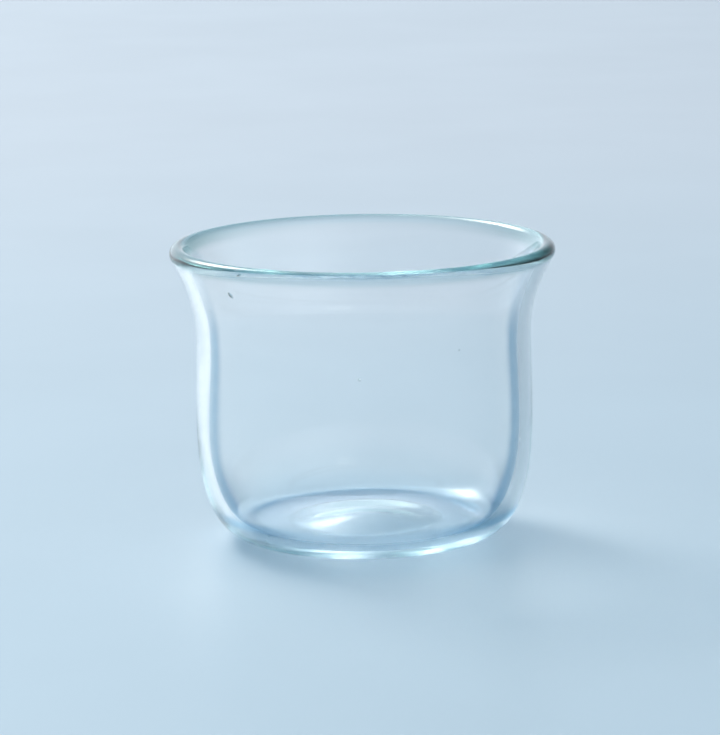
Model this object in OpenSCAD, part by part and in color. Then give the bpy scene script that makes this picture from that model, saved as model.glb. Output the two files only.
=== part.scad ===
// Cortado glass, made in one piece of clear glass: a flared mouth with a rounded bead,
// a near-straight body, a soft heel and a thick floor that rises over a punt.
// Z is up, and the origin is on the table at the middle of the foot.

/* [Lip] */
// Overall height
glass_h = 60.5; // [56:0.5:70]
// Outside diameter across the lip
lip_d = 78; // [75:0.5:86]
// Thickness of the rounded bead that ends the wall
bead_t = 3.4; // [3:0.1:4.4]
// Angle below the bead's widest point at which the flare runs into it, outside
bead_under = 30; // [20:1:45]
// Angle above the bead's narrowest point at which the flare runs into it, inside
bead_inside = 27; // [15:1:40]

/* [Body] */
// Outside diameter at the neck, where the flare starts
neck_d = 68; // [64:0.1:70]
// Height of the neck
neck_z = 42; // [38:0.5:47]
// Power of the flare's curve, where more keeps the mouth straight for longer
flare_power = 2; // [1.8:0.1:2.8]
// Outside diameter at the belly, the body's widest place
belly_d = 68.4; // [66:0.1:71]
// Height of the belly
belly_z = 29; // [26:0.5:34]
// Thickness of the wall
wall_t = 2.7; // [2:0.1:3.2]

/* [Heel] */
// Outside diameter of the flat ring that the glass stands on
foot_d = 38; // [36:0.5:44]
// Power of the heel's curve, where 2 is an ellipse and more is squarer
heel_power = 3; // [2.6:0.1:3.4]
// Thickness of the glass where the heel meets the floor
heel_t = 3.1; // [2.4:0.1:3.8]

/* [Floor] */
// Height of the drink's lowest place over the table, at the edge of the floor
floor_t = 3.6; // [3.2:0.1:6]
// Height by which the floor's middle rises over its edge
floor_rise = 0.8; // [0:0.1:2]
// Height over which the floor turns up into the heel
floor_turn = 1.5; // [0.8:0.1:2]
// Width of the flat ring, from its outside in to the punt, the soft hollow under the floor
ring_w = 3; // [1.5:0.5:6]
// Depth of the punt
punt_h = 2.6; // [1:0.1:3]

/* [Hidden] */

// Steps along each stretch of the section, and round the glass
heel_steps = 30;
neck_steps = 6;
flare_steps = 14;
bead_steps = 20;
turn_steps = 5;
floor_steps = 10;
punt_steps = 12;
round_steps = 180;

// Halvings that find where the inner heel has come down to the floor
seek_steps = 30;

lip_r = lip_d / 2;
neck_r = neck_d / 2;
belly_r = belly_d / 2;
foot_r = foot_d / 2;
punt_r = foot_r - ring_w;
bead_r = bead_t / 2;
bead_mid = [lip_r - bead_r, glass_h - bead_r];

glass_colour = [0.8, 0.9, 0.95, 0.45];

// Numbers from first to last in equal steps, both ends included
function spread(first, last, steps) = [for (i = [0 : steps]) first + (last - first) * i / steps];

// A list in the other order
function backwards(list) = [for (i = [len(list) - 1 : -1 : 0]) list[i]];

// The heel's outside, a quarter of a superellipse: a is 0 at the foot and 90 at the belly
function heel(a) = [
    foot_r + (belly_r - foot_r) * pow(sin(a), 2 / heel_power),
    belly_z * (1 - pow(cos(a), 2 / heel_power))
];

// Slope of the heel's outside at a, from level at the foot to upright at the belly
function heel_slope(a) = atan2(
    belly_z * pow(sin(a), 2 - 2 / heel_power),
    (belly_r - foot_r) * pow(cos(a), 2 - 2 / heel_power)
);

// The heel's inside: the outside moved in by the thickness, which grows towards the floor
function inner_heel(a) = heel(a)
    + (wall_t + (heel_t - wall_t) * cos(a)) * [-sin(heel_slope(a)), cos(heel_slope(a))];

// The angle a at which the inner heel is at height z
function heel_angle_at(z, low = 0, high = 90, steps = seek_steps) = let (mid = (low + high) / 2)
    steps == 0 ? mid
    : inner_heel(mid)[1] < z ? heel_angle_at(z, mid, high, steps - 1)
    : heel_angle_at(z, low, mid, steps - 1);

// From the belly in to the neck: s is 0 at the belly and 1 at the neck
function neck(s) = [
    belly_r + (neck_r - belly_r) * (1 - cos(180 * s)) / 2,
    belly_z + (neck_z - belly_z) * s
];

// A flare that starts upright at a radius on the neck's height and ends at a point
function flare(start_r, end, s) = [
    start_r + (end[0] - start_r) * pow(s, flare_power),
    neck_z + (end[1] - neck_z) * s
];

// The bead's edge, with angles counted from its widest point upwards
function bead(a) = bead_mid + bead_r * [cos(a), sin(a)];

// The floor's turn into the heel, a curve that is level at its start and on the heel at its end
turn_angle = heel_angle_at(floor_t + floor_turn);
turn_end = inner_heel(turn_angle);
turn_mid = [turn_end[0] - floor_turn / tan(heel_slope(turn_angle)), floor_t];
turn_start = turn_mid - [norm(turn_end - turn_mid), 0];
function floor_edge(s) = pow(1 - s, 2) * turn_start + 2 * s * (1 - s) * turn_mid + pow(s, 2) * turn_end;

// A soft hill, level at its top and at its edge: s is 0 in the middle and 1 at the edge
function hill(s, edge_r, rise) = [edge_r * s, rise * pow(1 - pow(s, 2), 2)];

outside = concat(
    [for (a = spread(0, 90, heel_steps)) heel(a)],
    [for (s = spread(1 / neck_steps, 1, neck_steps - 1)) neck(s)],
    [for (s = spread(1 / flare_steps, 1, flare_steps - 1)) flare(neck_r, bead(-bead_under), s)]
);

over_the_bead = [
    for (a = spread(-bead_under, 180 - bead_inside, bead_steps))
        if (a > -bead_under) bead(a)
];

inside = concat(
    backwards([
        for (s = spread(0, 1 - 1 / flare_steps, flare_steps - 1))
            flare(neck_r - wall_t, bead(180 - bead_inside), s)
    ]),
    backwards([for (s = spread(0, 1 - 1 / neck_steps, neck_steps - 1)) neck(s) - [wall_t, 0]]),
    backwards([
        for (a = spread(turn_angle, 90, heel_steps))
            if (a < 90) inner_heel(a)
    ]),
    backwards([for (s = spread(0, 1 - 1 / turn_steps, turn_steps - 1)) floor_edge(s)]),
    backwards([
        for (s = spread(0, 1 - 1 / floor_steps, floor_steps - 1))
            [0, floor_t] + hill(s, turn_start[0], floor_rise)
    ])
);

under = [for (s = spread(0, 1, punt_steps)) hill(s, punt_r, punt_h)];

module glass() {
    color(glass_colour)
        rotate_extrude($fn = round_steps)
            polygon(concat(outside, over_the_bead, inside, under));
}

glass();
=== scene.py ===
import math
import random

import bmesh
import bpy
from mathutils import Matrix, Vector


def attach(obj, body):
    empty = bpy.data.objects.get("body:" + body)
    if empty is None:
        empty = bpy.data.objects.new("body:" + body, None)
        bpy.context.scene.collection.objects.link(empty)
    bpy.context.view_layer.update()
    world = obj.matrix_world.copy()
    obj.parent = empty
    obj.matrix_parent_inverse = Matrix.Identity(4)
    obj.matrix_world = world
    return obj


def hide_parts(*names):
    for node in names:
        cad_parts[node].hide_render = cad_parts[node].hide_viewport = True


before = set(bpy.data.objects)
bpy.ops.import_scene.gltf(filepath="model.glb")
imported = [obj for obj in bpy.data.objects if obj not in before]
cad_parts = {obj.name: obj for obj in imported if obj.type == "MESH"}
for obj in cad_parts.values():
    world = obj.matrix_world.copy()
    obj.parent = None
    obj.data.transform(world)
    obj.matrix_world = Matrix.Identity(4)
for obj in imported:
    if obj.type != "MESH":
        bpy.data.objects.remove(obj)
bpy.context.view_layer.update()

mm = 0.001
print("frame loaded:", sorted(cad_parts))


def emptyMaterial(name):
    # a new material with only its output node
    material = bpy.data.materials.new(name)
    material.use_nodes = True
    nodes = material.node_tree.nodes
    nodes.clear()
    return material, nodes, material.node_tree.links


noiseSpan = (0.35, 0.65)  # the stretch of the noise's values that is spread from low to high


def makeUnevenGroup():
    # soft patches of noise, for surfaces that aren't quite even
    group = bpy.data.node_groups.new("uneven_patches", "ShaderNodeTree")
    face = group.interface
    face.new_socket("Vector", in_out="INPUT", socket_type="NodeSocketVector")
    for name, value in (("Scale", 50), ("Detail", 2), ("Low", 0), ("High", 1)):
        socket = face.new_socket(name, in_out="INPUT", socket_type="NodeSocketFloat")
        socket.default_value = value
    face.new_socket("Height", in_out="OUTPUT", socket_type="NodeSocketFloat")
    face.new_socket("Level", in_out="OUTPUT", socket_type="NodeSocketFloat")
    nodes = group.nodes
    links = group.links
    given = nodes.new("NodeGroupInput")
    result = nodes.new("NodeGroupOutput")
    noise = nodes.new("ShaderNodeTexNoise")
    for name in ("Vector", "Scale", "Detail"):
        links.new(given.outputs[name], noise.inputs[name])
    level = nodes.new("ShaderNodeMapRange")
    level.interpolation_type = "SMOOTHSTEP"
    level.inputs["From Min"].default_value, level.inputs["From Max"].default_value = noiseSpan
    links.new(noise.outputs["Fac"], level.inputs["Value"])
    links.new(given.outputs["Low"], level.inputs["To Min"])
    links.new(given.outputs["High"], level.inputs["To Max"])
    links.new(noise.outputs["Fac"], result.inputs["Height"])
    links.new(level.outputs["Result"], result.inputs["Level"])
    return group


def addPatches(nodes, links, vector, values):
    # places the group in a material with that material's own values
    patches = nodes.new("ShaderNodeGroup")
    patches.node_tree = unevenGroup
    links.new(vector, patches.inputs["Vector"])
    for name, value in values.items():
        patches.inputs[name].default_value = value
    return patches


unevenGroup = makeUnevenGroup()

# The camera, at the photograph's angle

cameraSet = {
    "target": Vector((0, 0, 30 * mm)),
    "distance": 850 * mm,
    "elevation": 11.16,  # degrees above the table
    "roll": -0.75,  # degrees, which lifts the right side of the picture
    "focalPixels": 4180,
    "imageSize": (720, 735),
    "targetPixel": (363.7, 390.2),
    "sensorWidth": 36,
    "clip": (0.01, 50),
}


def makeCamera():
    s = cameraSet
    data = bpy.data.cameras.new("camera")
    camera = bpy.data.objects.new("camera", data)
    bpy.context.scene.collection.objects.link(camera)
    data.sensor_width = s["sensorWidth"]
    data.lens = s["focalPixels"] * s["sensorWidth"] / max(s["imageSize"])
    data.clip_start, data.clip_end = s["clip"]
    tilt = math.radians(s["elevation"])
    back = Vector((0, -math.cos(tilt), math.sin(tilt)))
    camera.location = s["target"] + s["distance"] * back
    # the target lies a little right of and below the picture's middle, so the camera aims past it
    aside = s["targetPixel"][0] - s["imageSize"][0] / 2
    below = s["targetPixel"][1] - s["imageSize"][1] / 2
    look = back.to_track_quat("Z", "Y").to_matrix()
    turn = Matrix.Rotation(math.atan2(aside, s["focalPixels"]), 3, "Y")
    nod = Matrix.Rotation(math.atan2(below, s["focalPixels"]), 3, "X")
    roll = Matrix.Rotation(math.radians(s["roll"]), 3, "Z")
    camera.rotation_euler = (look @ turn @ nod @ roll).to_euler()
    bpy.context.scene.camera = camera


makeCamera()
print("camera made")

# The glass, one vessel of revolution with the slight unevenness of hot-worked glass

glassShape = {
    "height": 60.5 * mm,
    "lipRadius": 39 * mm,
    "beadRadius": 1.7 * mm,
    "beadUnder": 30,  # degrees below its widest point
    "beadInside": 27,  # degrees above its narrowest point
    "neckRadius": 34 * mm,
    "neckHeight": 42 * mm,
    "flarePower": 2.0,
    "bellyRadius": 34.2 * mm,
    "bellyHeight": 29 * mm,
    "wall": 2.7 * mm,
    "footRadius": 19 * mm,
    "heelPower": 3,
    "heelThickness": 3.1 * mm,
    "floor": 3.6 * mm,
    "floorTurn": 1.5 * mm,
    "puntRadius": 16 * mm,
    "puntDepth": 2.6 * mm,
    "floorRise": 0.8 * mm,
}
# in how many steps each stretch of the section is drawn, and the turn
glassSteps = {
    "around": 240,
    "punt": 40,
    "heel": 90,
    "neck": 14,
    "flare": 28,
    "bead": 48,
    "turn": 14,
    "floor": 40,
    "halvings": 40,  # to find where the inner heel meets the floor's turn
    "bubble": 3,  # how finely a bubble's ball is divided
}
# where each tint of painted shade (the bead's also partly the glass's own green), the soft punt and the
# scuffs lie on the glass
maskSet = {
    "floorFade": (8 * mm, 20 * mm),  # radii between which the floor's painted shade grows
    "liningFade": (4.7 * mm, 5.4 * mm),  # heights between which the lining's painted shade takes over from the floor's
    "flareFade": (40 * mm, 52 * mm),  # heights over which the lining's painted shade grows weaker
    "innerHeelFade": (9 * mm, 15 * mm),  # heights between which the inner heel's darker painted shade ends
    "heelFade": (2.5 * mm, 8 * mm),  # heights between which the outer heel's painted shade ends
    "footFade": (0.3 * mm, 1.2 * mm),  # heights between which the foot's scuffs end
    "collarStart": (4.8 * mm, 6.0 * mm),  # heights between which the painted shade on the heel's thick collar darkens
    "collarEnd": (6.8 * mm, 8.6 * mm),  # heights between which that painted shade clears again
    "flareShare": 0.6,  # by how much the lining's painted shade is weaker at the flare
    "names": ("liningShade", "innerHeelShade", "floor", "heel", "collarShade", "bead", "punt", "foot"),
}
unevenness = {
    "seed": 11,
    "waves": 9,
    "turns": (1, 7),  # whole waves round the glass
    "rise": (40, 190),  # radians per metre of height
    "share": (0.4, 1),  # height of one wave, which is then divided by the root of their number
    "sway": 0.05 * mm,  # of the whole wall
    "thickness": 0.035 * mm,  # of either face by itself
    "calmLip": 9 * mm,  # height under the lip over which the waves die out
}
# bubbles left in the glass: turn from the front to the right and lean in degrees, and in mm the height,
# the depth from the outer face and the half widths
seeds = [
    {"turn": -45.7, "lean": -40, "height": 54.6, "depth": 1.3, "size": (0.38, 0.38, 0.8)},
    {"turn": -1.5, "lean": 0, "height": 38.6, "depth": 1.2, "size": (0.22, 0.22, 0.26)},
    {"turn": -44, "lean": 0, "height": 4.3, "depth": 2.2, "size": (0.26, 0.26, 0.3)},
    {"turn": 68, "lean": 10, "height": 22, "depth": 1.4, "size": (0.16, 0.16, 0.3)},
    {"turn": 141, "lean": -15, "height": 34, "depth": 1.1, "size": (0.16, 0.16, 0.24)},
]


def heelPoint(a):
    # the heel's outside at a, from 0 at the foot to a right angle at the belly
    s = glassShape
    power = 2 / s["heelPower"]
    return Vector((
        s["footRadius"] + (s["bellyRadius"] - s["footRadius"]) * math.sin(a) ** power,
        s["bellyHeight"] * (1 - max(0, math.cos(a)) ** power),
    ))


def heelSlope(a):
    s = glassShape
    power = 2 - 2 / s["heelPower"]
    return math.atan2(
        s["bellyHeight"] * math.sin(a) ** power,
        (s["bellyRadius"] - s["footRadius"]) * max(0, math.cos(a)) ** power,
    )


def innerHeelPoint(a):
    s = glassShape
    slope = heelSlope(a)
    thick = s["wall"] + (s["heelThickness"] - s["wall"]) * math.cos(a)
    return heelPoint(a) + thick * Vector((-math.sin(slope), math.cos(slope)))


def neckPoint(t, inset=0):
    s = glassShape
    blend = (1 - math.cos(math.pi * t)) / 2
    return Vector((
        s["bellyRadius"] + (s["neckRadius"] - s["bellyRadius"]) * blend - inset,
        s["bellyHeight"] + (s["neckHeight"] - s["bellyHeight"]) * t,
    ))


def beadPoint(degrees):
    s = glassShape
    a = math.radians(degrees)
    middle = Vector((s["lipRadius"] - s["beadRadius"], s["height"] - s["beadRadius"]))
    return middle + s["beadRadius"] * Vector((math.cos(a), math.sin(a)))


def flarePoint(t, start, end):
    s = glassShape
    return Vector((
        start + (end.x - start) * t ** s["flarePower"],
        s["neckHeight"] + (end.y - s["neckHeight"]) * t,
    ))


def hill(t, edge, rise):
    return Vector((edge * t, rise * (1 - t * t) ** 2))


def steps(first, last, count):
    return [first + (last - first) * i / count for i in range(count + 1)]


def turnIntoHeel():
    # the curve by which the floor turns up into the heel, and where on the heel it ends
    s = glassShape
    low, high = 0, math.pi / 2
    for _ in range(glassSteps["halvings"]):
        angle = (low + high) / 2
        if innerHeelPoint(angle).y < s["floor"] + s["floorTurn"]:
            low = angle
        else:
            high = angle
    end = innerHeelPoint(angle)
    middle = Vector((end.x - s["floorTurn"] / math.tan(heelSlope(angle)), s["floor"]))
    start = middle - Vector(((end - middle).length, 0))
    curve = []
    for t in steps(0, 1, glassSteps["turn"]):
        curve.append((1 - t) ** 2 * start + 2 * t * (1 - t) * middle + t * t * end)
    return curve, angle


def outerSection():
    # from the middle of the underside, out round the heel and up to the bead
    s = glassShape
    count = glassSteps
    under = [hill(t, s["puntRadius"], s["puntDepth"]) for t in steps(0, 1, count["punt"])]
    outside = [heelPoint(a) for a in steps(0, math.pi / 2, count["heel"])]
    outside += [neckPoint(t) for t in steps(0, 1, count["neck"])[1:]]
    beadStart = beadPoint(-s["beadUnder"])
    outside += [flarePoint(t, s["neckRadius"], beadStart) for t in steps(0, 1, count["flare"])[1:]]
    return under + outside


def innerSection():
    # from the middle of the floor, out to the heel and up to the bead
    s = glassShape
    count = glassSteps
    turn, turnAngle = turnIntoHeel()
    floorMiddle = Vector((0, s["floor"]))
    inside = [floorMiddle + hill(t, turn[0].x, s["floorRise"]) for t in steps(0, 1, count["floor"])]
    inside += turn[1:]
    inside += [innerHeelPoint(a) for a in steps(turnAngle, math.pi / 2, count["heel"])[1:]]
    inside += [neckPoint(t, s["wall"]) for t in steps(0, 1, count["neck"])[1:]]
    beadEnd = beadPoint(180 - s["beadInside"])
    startRadius = s["neckRadius"] - s["wall"]
    inside += [flarePoint(t, startRadius, beadEnd) for t in steps(0, 1, count["flare"])[1:-1]]
    return inside


def glassSection():
    # the whole section, from the middle of the underside over the bead to the middle of the floor
    s = glassShape
    bead = [beadPoint(a) for a in steps(-s["beadUnder"], 180 - s["beadInside"], glassSteps["bead"])[1:]]
    return outerSection() + bead + innerSection()[::-1]


def makeWaves(seed):
    # a few long waves over the turn and the height, the same at every run
    chance = random.Random(seed)
    waves = []
    for _ in range(unevenness["waves"]):
        waves.append({
            "turns": chance.randint(*unevenness["turns"]),
            "rise": chance.uniform(*unevenness["rise"]),
            "start": chance.uniform(0, 2 * math.pi),
            "share": chance.uniform(*unevenness["share"]) / unevenness["waves"] ** 0.5,
        })
    return waves


def waveAt(waves, turn, height):
    total = 0
    for wave in waves:
        total += wave["share"] * math.sin(wave["turns"] * turn + wave["rise"] * height + wave["start"])
    return total


def outerRadius(height):
    # the radius of the outer face at a height under the bead, where the heel goes before the punt
    outward = 1e-3
    return min(outerSection(), key=lambda point: abs(point.y - height) - outward * point.x).x


def addSeed(mesh, seed):
    # a small hollow, so its faces look inwards
    turn = math.radians(seed["turn"])
    lean = math.radians(seed["lean"])
    height = seed["height"] * mm
    radius = outerRadius(height) - seed["depth"] * mm
    middle = Vector((radius * math.sin(turn), -radius * math.cos(turn), height))
    shape = Matrix.Translation(middle) @ Matrix.Rotation(turn, 4, "Z") @ Matrix.Rotation(lean, 4, "Y")
    shape = shape @ Matrix.Diagonal((*[half * mm for half in seed["size"]], 1))
    made = bmesh.ops.create_icosphere(mesh, subdivisions=glassSteps["bubble"], radius=1, matrix=shape)
    faces = {face for vert in made["verts"] for face in vert.link_faces}
    for face in faces:
        face.smooth = True
        face.normal_flip()


def fadeIn(value, low, high):
    t = min(1, max(0, (value - low) / (high - low)))
    return t * t * (3 - 2 * t)


def addMasks(data, rings, section, topIndex):
    # marks where each tint of painted shade (the bead's also partly the glass's own green), the soft
    # punt and the scuffs lie
    s = maskSet
    beadMiddle = glassShape["height"] - glassShape["beadRadius"]
    beadBottom = beadMiddle - glassShape["beadRadius"]
    values = {name: [] for name in s["names"]}
    for index, (ring, point) in enumerate(zip(rings, section)):
        inner = 1 if index >= topIndex else 0
        inBead = fadeIn(point.y, beadBottom, beadMiddle)
        overFloor = fadeIn(point.y, *s["liningFade"])
        belowFlare = 1 - s["flareShare"] * fadeIn(point.y, *s["flareFade"])
        collarShade = fadeIn(point.y, *s["collarStart"]) * (1 - fadeIn(point.y, *s["collarEnd"]))
        # the lining, inner heel, floor, heel and collar shares place painted shade; the bead's is
        # partly painted shade
        shares = {
            "liningShade": inner * (1 - inBead) * overFloor * belowFlare,
            "innerHeelShade": inner * overFloor * (1 - fadeIn(point.y, *s["innerHeelFade"])),
            "floor": inner * (1 - overFloor) * fadeIn(point.x, *s["floorFade"]),
            "heel": (1 - inner) * (1 - fadeIn(point.y, *s["heelFade"])),
            "collarShade": (1 - inner) * collarShade,
            "bead": inBead,
            "punt": 1 if index < glassSteps["punt"] else 0,
            "foot": (1 - inner) * (1 - fadeIn(point.y, *s["footFade"])),
        }
        for name, share in shares.items():
            values[name] += [share] * len(ring)
    for name in s["names"]:
        bare = [0] * (len(data.vertices) - len(values[name]))
        data.attributes.new(name, "FLOAT", "POINT").data.foreach_set("value", values[name] + bare)


def makeRing(mesh, point, outer, sway, own):
    # one ring of the vessel's points round the axis, moved by the waves
    s = glassShape
    onAxis = 1e-7
    if point.x < onAxis:
        return [mesh.verts.new((0, 0, point.y))]
    side = 1 if outer else -1
    calm = min(1, point.x / s["footRadius"])
    calm *= fadeIn(s["height"] - point.y, 0, unevenness["calmLip"])
    ring = []
    for i in range(glassSteps["around"]):
        turn = 2 * math.pi * i / glassSteps["around"]
        shift = unevenness["sway"] * waveAt(sway, turn, point.y)
        shift += side * unevenness["thickness"] * waveAt(own, turn, point.y)
        radius = point.x + calm * shift
        ring.append(mesh.verts.new((radius * math.cos(turn), radius * math.sin(turn), point.y)))
    return ring


def buildGlass():
    section = glassSection()
    sway = makeWaves(unevenness["seed"])
    own = makeWaves(unevenness["seed"] + 1)
    topIndex = section.index(max(section, key=lambda point: point.y))
    mesh = bmesh.new()
    rings = []
    for index, point in enumerate(section):
        rings.append(makeRing(mesh, point, index < topIndex, sway, own))
    count = glassSteps["around"]
    for near, far in zip(rings, rings[1:]):
        for i in range(count):
            j = (i + 1) % count
            if len(near) == 1:
                mesh.faces.new((near[0], far[j], far[i]))
            elif len(far) == 1:
                mesh.faces.new((near[i], near[j], far[0]))
            else:
                mesh.faces.new((near[i], near[j], far[j], far[i]))
    for face in mesh.faces:
        face.smooth = True
    bmesh.ops.recalc_face_normals(mesh, faces=mesh.faces)
    for seed in seeds:
        addSeed(mesh, seed)
    data = bpy.data.meshes.new("glass_body")
    mesh.to_mesh(data)
    addMasks(data, rings, section, topIndex)
    mesh.free()
    vessel = bpy.data.objects.new("glass_body", data)
    bpy.context.scene.collection.objects.link(vessel)
    return vessel


glassFinish = {
    "index": 1.5,
    "clear": (1, 1, 1, 1),
    # painted shade: tints that darken a face where it is seen edge on, standing in for shade and dark
    # reflections, the bead's partly the glass's own green;
    # facing is how squarely it is seen, from fully tinted to clear, and a face with both ends at 1 or
    # more is tinted all over
    "edgeTintsAndPaintedShade": [
        # painted shade: dark blue on the inner wall where it is seen edge on
        {"mask": "liningShade", "facing": (0.27, 0.41), "colour": (0.13, 0.30, 0.46, 1)},
        # painted shade: blue darkening of the floor's top where it is seen at a slant
        {"mask": "floor", "facing": (0.12, 0.42), "colour": (0.12, 0.36, 0.56, 1)},
        # painted shade: dark blue on the inner heel where it is seen edge on
        {"mask": "innerHeelShade", "facing": (0.22, 0.58), "colour": (0.03, 0.15, 0.30, 1)},
        # painted shade: a pale blue over all of the outer heel near the table
        {"mask": "heel", "facing": (1.0, 1.1), "colour": (0.84, 0.93, 0.98, 1)},
        # painted shade: blue darkening on the heel's thick collar, stronger where it is seen at a slant
        {"mask": "collarShade", "facing": (0.45, 0.95), "colour": (0.22, 0.44, 0.62, 1)},
        # the bead's teal: partly the glass's own green seen through the thick bead, partly painted
        # shade at its edges
        {"mask": "bead", "facing": (0.10, 1.15), "colour": (0.22, 0.43, 0.42, 1)},
    ],
    "smudge": {"Scale": 45, "Detail": 3, "Low": 0, "High": 0.035},
    "puntRoughness": 0.12,  # the punt is slightly matt
    "scuffs": {"Scale": 900, "Detail": 3, "Low": 0, "High": 0.1},
    "ripple": {"Scale": 130, "Detail": 1},
    "rippleHeight": 0.01 * mm,
    "rippleStrength": 0.4,
    "absorbColour": (0.55, 0.85, 0.86, 1),
    "absorbDensity": 6,
}


def addMask(nodes, name):
    place = nodes.new("ShaderNodeAttribute")
    place.attribute_name = name
    return place.outputs["Fac"]


def addEdgeTintAndPaintedShade(nodes, links, facing, tintAndShade):
    # a colour mix that goes to a painted shade colour where a masked face is seen edge on, for the bead
    # partly the glass's own green
    edge = nodes.new("ShaderNodeMapRange")
    edge.interpolation_type = "SMOOTHSTEP"
    edge.inputs["From Min"].default_value = 1 - tintAndShade["facing"][1]
    edge.inputs["From Max"].default_value = 1 - tintAndShade["facing"][0]
    links.new(facing, edge.inputs["Value"])
    share = nodes.new("ShaderNodeMath")
    share.operation = "MULTIPLY"
    links.new(edge.outputs["Result"], share.inputs[0])
    links.new(addMask(nodes, tintAndShade["mask"]), share.inputs[1])
    mix = nodes.new("ShaderNodeMix")
    mix.data_type = "RGBA"
    mix.inputs["B"].default_value = tintAndShade["colour"]
    links.new(share.outputs["Value"], mix.inputs["Factor"])
    return mix


def makeGlassMaterial():
    s = glassFinish
    material, nodes, links = emptyMaterial("clear_glass_painted_shade")
    output = nodes.new("ShaderNodeOutputMaterial")
    shader = nodes.new("ShaderNodeBsdfPrincipled")
    shader.inputs["IOR"].default_value = s["index"]
    shader.inputs["Transmission Weight"].default_value = 1
    links.new(shader.outputs["BSDF"], output.inputs["Surface"])
    place = nodes.new("ShaderNodeTexCoord").outputs["Object"]
    smudge = addPatches(nodes, links, place, s["smudge"])
    softer = nodes.new("ShaderNodeMath")
    softer.operation = "MULTIPLY_ADD"
    softer.inputs[1].default_value = s["puntRoughness"]
    links.new(addMask(nodes, "punt"), softer.inputs[0])
    links.new(smudge.outputs["Level"], softer.inputs[2])
    scuffs = addPatches(nodes, links, place, s["scuffs"])
    rougher = nodes.new("ShaderNodeMath")
    rougher.operation = "MULTIPLY_ADD"
    links.new(addMask(nodes, "foot"), rougher.inputs[0])
    links.new(scuffs.outputs["Level"], rougher.inputs[1])
    links.new(softer.outputs["Value"], rougher.inputs[2])
    links.new(rougher.outputs["Value"], shader.inputs["Roughness"])
    ripple = addPatches(nodes, links, place, s["ripple"])
    bump = nodes.new("ShaderNodeBump")
    bump.inputs["Strength"].default_value = s["rippleStrength"]
    bump.inputs["Distance"].default_value = s["rippleHeight"]
    links.new(ripple.outputs["Height"], bump.inputs["Height"])
    links.new(bump.outputs["Normal"], shader.inputs["Normal"])
    facing = nodes.new("ShaderNodeLayerWeight")
    facing.inputs["Blend"].default_value = 0.5
    colour = None
    for tintAndShade in s["edgeTintsAndPaintedShade"]:
        mix = addEdgeTintAndPaintedShade(nodes, links, facing.outputs["Facing"], tintAndShade)
        mix.inputs["A"].default_value = s["clear"]
        if colour:
            links.new(colour, mix.inputs["A"])
        colour = mix.outputs["Result"]
    links.new(colour, shader.inputs["Base Color"])
    absorb = nodes.new("ShaderNodeVolumeAbsorption")
    absorb.inputs["Color"].default_value = s["absorbColour"]
    absorb.inputs["Density"].default_value = s["absorbDensity"]
    links.new(absorb.outputs["Volume"], output.inputs["Volume"])
    return material


vessel = buildGlass()
vessel.data.materials.append(makeGlassMaterial())
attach(vessel, "root")
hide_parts("glass")
print("glass built:", len(vessel.data.polygons), "faces")

# The floor

floorSet = {
    "size": 8,
    "nearShadedColour": (0.495, 0.562, 0.622, 1),
    "farLitColour": (0.588, 0.577, 0.617, 1),
    "paintedLightSpan": (-0.1, 0.7),  # painted light: places along Y between which the darker, bluer near colour gives way to the paler, warmer far one
    "mottle": {"Scale": 9, "Detail": 3, "Low": 0.98, "High": 1},
    "polish": {"Scale": 14, "Detail": 2, "Low": 0.40, "High": 0.44},
    "grain": {"Scale": 900, "Detail": 2},
    "grainHeight": 0.004 * mm,
    "gap": 0.03 * mm,  # the thin air under a foot that never touches all round
}


def makeFloor():
    s = floorSet
    half = s["size"] / 2
    data = bpy.data.meshes.new("floor")
    corners = [(-half, -half), (half, -half), (half, half), (-half, half)]
    data.from_pydata([(x, y, -s["gap"]) for x, y in corners], [], [(0, 1, 2, 3)])
    floor = bpy.data.objects.new("floor", data)
    bpy.context.scene.collection.objects.link(floor)
    material, nodes, links = emptyMaterial("floor_paper_painted_light")
    output = nodes.new("ShaderNodeOutputMaterial")
    shader = nodes.new("ShaderNodeBsdfPrincipled")
    links.new(shader.outputs["BSDF"], output.inputs["Surface"])
    place = nodes.new("ShaderNodeTexCoord").outputs["Object"]
    split = nodes.new("ShaderNodeSeparateXYZ")
    links.new(place, split.inputs["Vector"])
    # painted light: the floor's colour turns paler and warmer towards the back
    away = nodes.new("ShaderNodeMapRange")
    away.interpolation_type = "SMOOTHSTEP"
    away.inputs["From Min"].default_value, away.inputs["From Max"].default_value = s["paintedLightSpan"]
    links.new(split.outputs["Y"], away.inputs["Value"])
    colour = nodes.new("ShaderNodeMix")
    colour.data_type = "RGBA"
    colour.inputs["A"].default_value = s["nearShadedColour"]
    colour.inputs["B"].default_value = s["farLitColour"]
    links.new(away.outputs["Result"], colour.inputs["Factor"])
    mottle = addPatches(nodes, links, place, s["mottle"])
    mottled = nodes.new("ShaderNodeVectorMath")
    mottled.operation = "SCALE"
    links.new(colour.outputs["Result"], mottled.inputs["Vector"])
    links.new(mottle.outputs["Level"], mottled.inputs["Scale"])
    links.new(mottled.outputs["Vector"], shader.inputs["Base Color"])
    polish = addPatches(nodes, links, place, s["polish"])
    links.new(polish.outputs["Level"], shader.inputs["Roughness"])
    grain = addPatches(nodes, links, place, s["grain"])
    bump = nodes.new("ShaderNodeBump")
    bump.inputs["Distance"].default_value = s["grainHeight"]
    links.new(grain.outputs["Height"], bump.inputs["Height"])
    links.new(bump.outputs["Normal"], shader.inputs["Normal"])
    data.materials.append(material)


makeFloor()
print("floor made")

# Soft studio light

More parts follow.
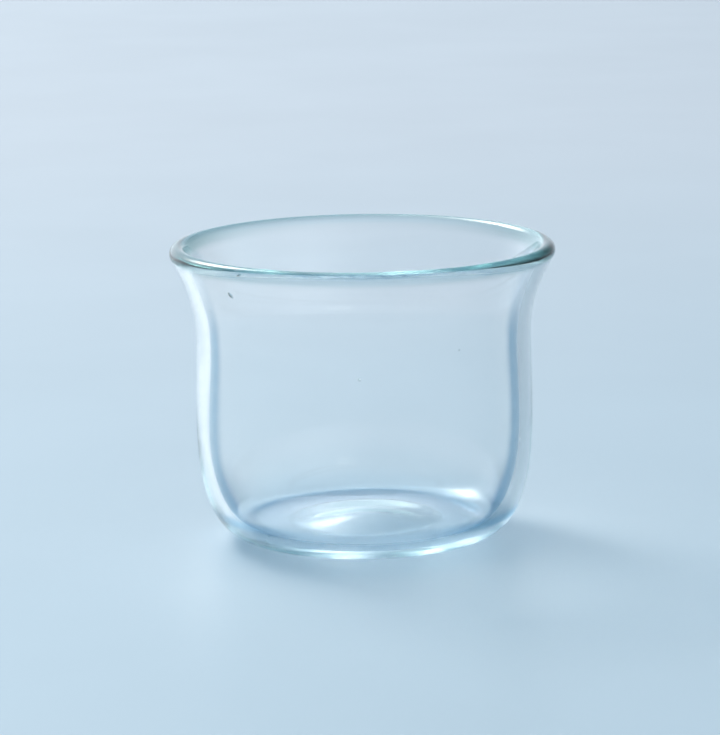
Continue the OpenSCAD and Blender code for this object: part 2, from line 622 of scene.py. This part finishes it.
worldSet = {
    "horizon": (0.70, 0.78, 0.88, 1),
    "above": (0.20, 0.395, 0.53, 1),
    "fade": (0.08, 0.45),  # sines of the heights between which the horizon's colour gives way
    # each lobe: its direction to the left of +Y and its height in degrees, and the power of its falloff
    "darks": [
        {"aside": -60, "up": 18, "power": 5, "share": 0.8},
        {"aside": -27, "up": 15, "power": 30, "share": 0.85},
    ],
    "windows": [
        {"aside": 35, "up": 40, "power": 60, "light": (17.5, 17.0, 15.8)},
        {"aside": 28, "up": 46, "power": 14, "light": (2.0, 2.0, 1.95)},
        {"aside": 26, "up": 10, "power": 6, "light": (0.72, 0.80, 0.86)},
        {"aside": -138, "up": 25, "power": 8, "light": (0.60, 0.66, 0.68)},
        {"aside": -82, "up": 27, "power": 14, "light": (0.45, 0.63, 0.69)},
    ],
}


def addLobe(nodes, links, direction, lobe):
    # a soft round patch of the room, 1 in its middle
    aside = math.radians(lobe["aside"])
    up = math.radians(lobe["up"])
    middle = (-math.sin(aside) * math.cos(up), math.cos(aside) * math.cos(up), math.sin(up))
    facing = nodes.new("ShaderNodeVectorMath")
    facing.operation = "DOT_PRODUCT"
    facing.inputs[1].default_value = middle
    links.new(direction, facing.inputs[0])
    front = nodes.new("ShaderNodeMath")
    front.operation = "MAXIMUM"
    front.inputs[1].default_value = 0
    links.new(facing.outputs["Value"], front.inputs[0])
    falloff = nodes.new("ShaderNodeMath")
    falloff.operation = "POWER"
    falloff.inputs[1].default_value = lobe["power"]
    links.new(front.outputs["Value"], falloff.inputs[0])
    return falloff.outputs["Value"]


def makeWorld():
    # a room with soft windows at the back left, a darker corner at the back right and weak fills from
    # the right and the front right
    s = worldSet
    world = bpy.data.worlds.new("studio")
    world.use_nodes = True
    nodes = world.node_tree.nodes
    links = world.node_tree.links
    background = nodes["Background"]
    direction = nodes.new("ShaderNodeTexCoord").outputs["Generated"]
    split = nodes.new("ShaderNodeSeparateXYZ")
    links.new(direction, split.inputs["Vector"])
    fade = nodes.new("ShaderNodeMapRange")
    fade.interpolation_type = "SMOOTHSTEP"
    fade.inputs["From Min"].default_value, fade.inputs["From Max"].default_value = s["fade"]
    links.new(split.outputs["Z"], fade.inputs["Value"])
    room = nodes.new("ShaderNodeMix")
    room.data_type = "RGBA"
    room.inputs["A"].default_value = s["horizon"]
    room.inputs["B"].default_value = s["above"]
    links.new(fade.outputs["Result"], room.inputs["Factor"])
    total = room.outputs["Result"]
    for dark in s["darks"]:
        left = nodes.new("ShaderNodeMath")
        left.operation = "MULTIPLY_ADD"
        left.inputs[1].default_value = -dark["share"]
        left.inputs[2].default_value = 1
        links.new(addLobe(nodes, links, direction, dark), left.inputs[0])
        shaded = nodes.new("ShaderNodeVectorMath")
        shaded.operation = "SCALE"
        links.new(total, shaded.inputs["Vector"])
        links.new(left.outputs["Value"], shaded.inputs["Scale"])
        total = shaded.outputs["Vector"]
    for window in s["windows"]:
        add = nodes.new("ShaderNodeVectorMath")
        add.operation = "MULTIPLY_ADD"
        add.inputs[1].default_value = window["light"]
        links.new(addLobe(nodes, links, direction, window), add.inputs[0])
        links.new(total, add.inputs[2])
        total = add.outputs["Vector"]
    links.new(total, background.inputs["Color"])
    bpy.context.scene.world = world


makeWorld()

# clear glass needs many bounces, because light turns inside its walls
bounces = 64
scene = bpy.context.scene
scene.view_settings.view_transform = "Standard"
scene.cycles.max_bounces = bounces
scene.cycles.transmission_bounces = bounces
scene.cycles.glossy_bounces = bounces
scene.cycles.use_denoising = True
scene.cycles.sample_clamp_indirect = 0
scene.cycles.blur_glossy = 0
print("light made")
